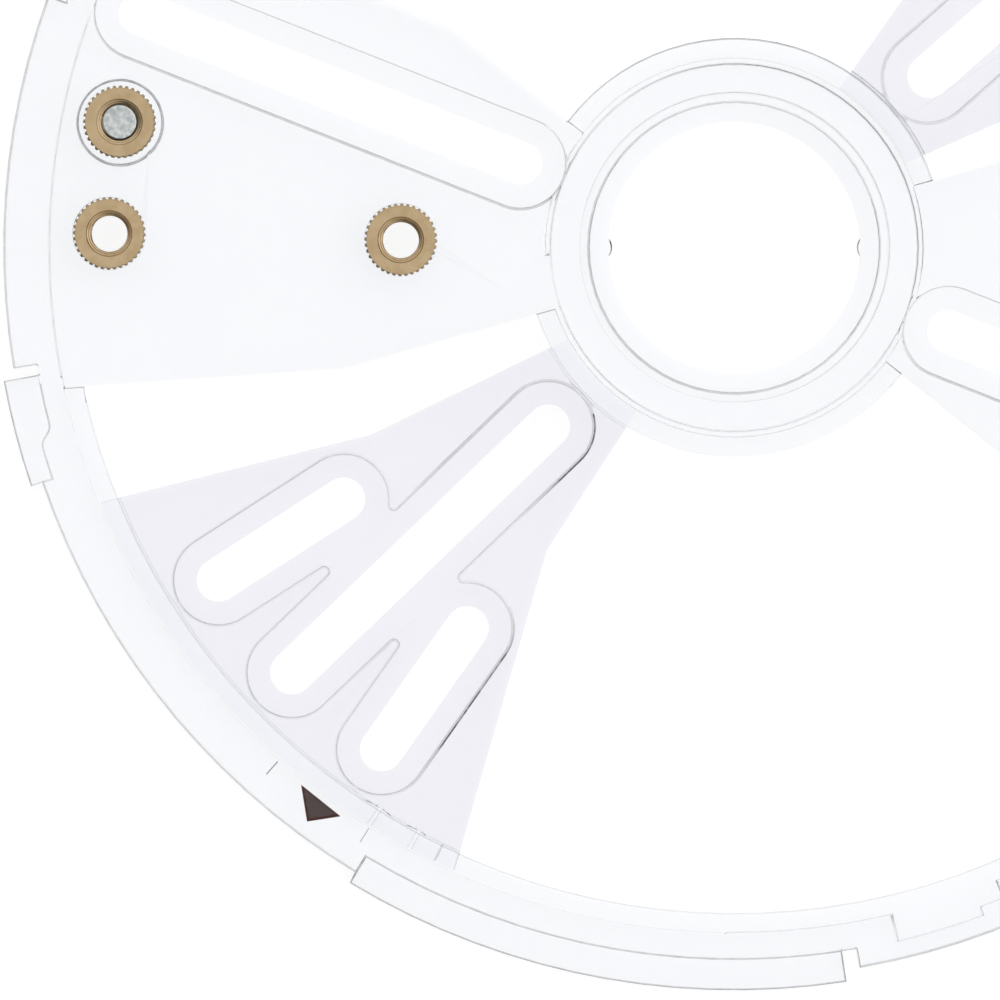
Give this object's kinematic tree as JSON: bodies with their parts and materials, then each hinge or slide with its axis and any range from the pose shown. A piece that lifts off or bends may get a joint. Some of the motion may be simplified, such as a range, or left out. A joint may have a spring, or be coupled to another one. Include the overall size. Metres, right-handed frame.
{
  "type": "router base plate",
  "caption": "Round clear plastic base plate for a hand router, with a guide bushing seat, a lock ring recess and slotted segments that turn to suit the router's screws.",
  "frame": {"origin": "on the bushing bore's axis, at the underside (the face that slides on the work)", "axes": "+Z towards the router, +X along the two fixed screw slots, on the side away from the brass inserts"},
  "size_m": [0.1763, 0.1763, 0.0063],
  "materials": {
    "clear_plate": "clear polished polycarbonate",
    "clear_segment": "clear polished polycarbonate",
    "brass": "turned and knurled",
    "zinc_steel": "zinc plated"
  },
  "bodies": {
    "plate": {"base_plate": "clear_plate", "screw_insert": "brass", "outer_insert": "brass", "inner_insert": "brass", "stored_screw": "zinc_steel"},
    "front_slotted_segment": {"front_segment": "clear_segment"},
    "rear_slotted_segment": {"rear_segment": "clear_segment"}
  },
  "joints": [
    {"name": "front_segment_turn", "type": "hinge", "parent": "plate", "child": "front_slotted_segment", "pos_m": [0, 0, 0], "axis": [0, 0, 1], "range_deg": [-9.75, 83.75]},
    {"name": "rear_segment_turn", "type": "hinge", "parent": "plate", "child": "rear_slotted_segment", "pos_m": [0, 0, 0], "axis": [0, 0, 1], "range_deg": [-7.2, 86.3]}
  ]
}
